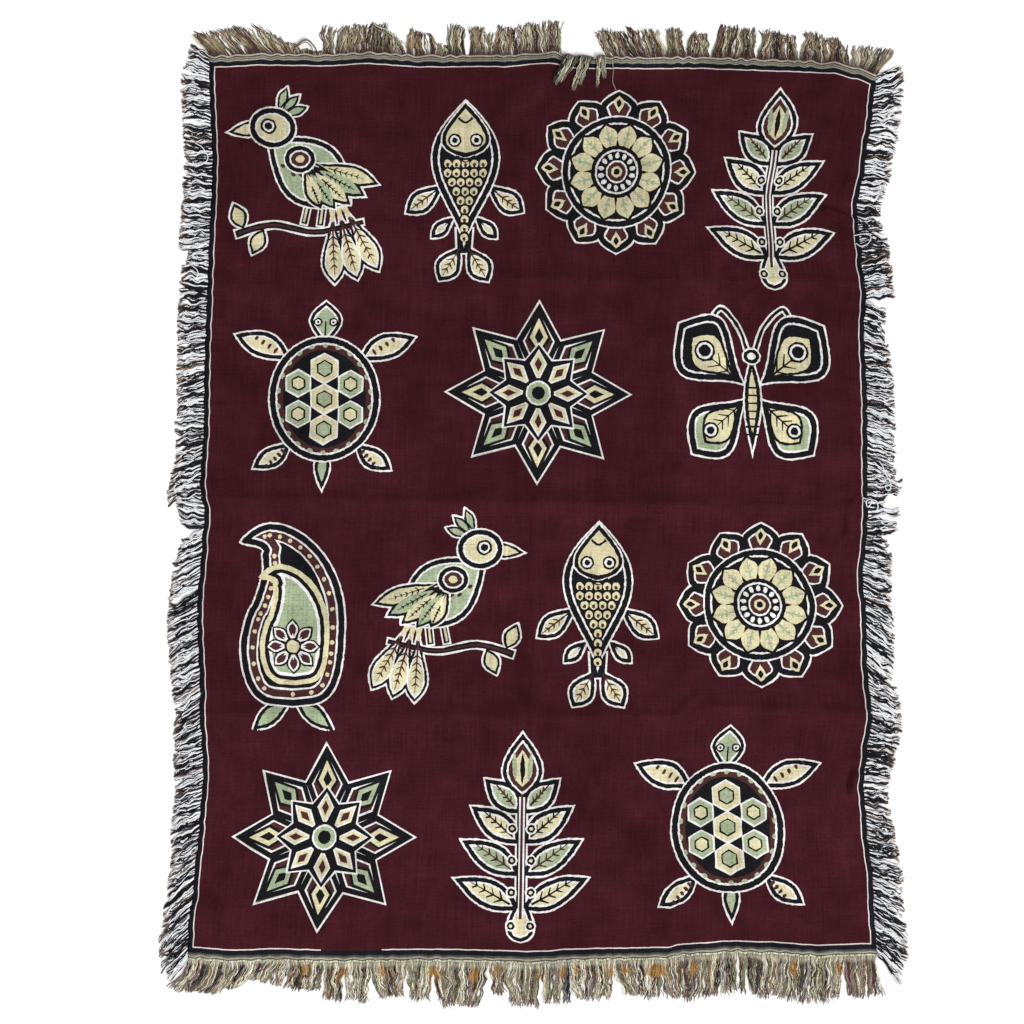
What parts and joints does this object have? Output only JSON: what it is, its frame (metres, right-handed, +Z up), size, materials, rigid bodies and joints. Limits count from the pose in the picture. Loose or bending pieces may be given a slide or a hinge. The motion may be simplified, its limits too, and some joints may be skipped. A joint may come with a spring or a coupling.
{
  "type": "patterned blanket",
  "caption": "Woven throw blanket lying flat, face up, with soft fold ridges and a yarn fringe along all of its edges.",
  "frame": {"origin": "middle of the blanket's outline with its fringe, on the surface that it rests on", "axes": "+X across the blanket, +Y along it towards the end with the tuft that is folded back, +Z up from the face"},
  "size_m": [1.1666, 1.5484, 0.0155],
  "materials": {
    "woven_cloth": "maroon jacquard weave with black, cream, sage and white motifs",
    "end_fringe_yarn": "mixed warp yarn in brown, sage, cream and charcoal",
    "side_fringe_yarn": "mixed weft yarn in white and black"
  },
  "bodies": {
    "root": {"blanket": "woven_cloth", "fringe_top": "end_fringe_yarn", "fringe_bottom": "end_fringe_yarn", "fringe_left": "side_fringe_yarn", "fringe_right": "side_fringe_yarn"}
  },
  "joints": []
}
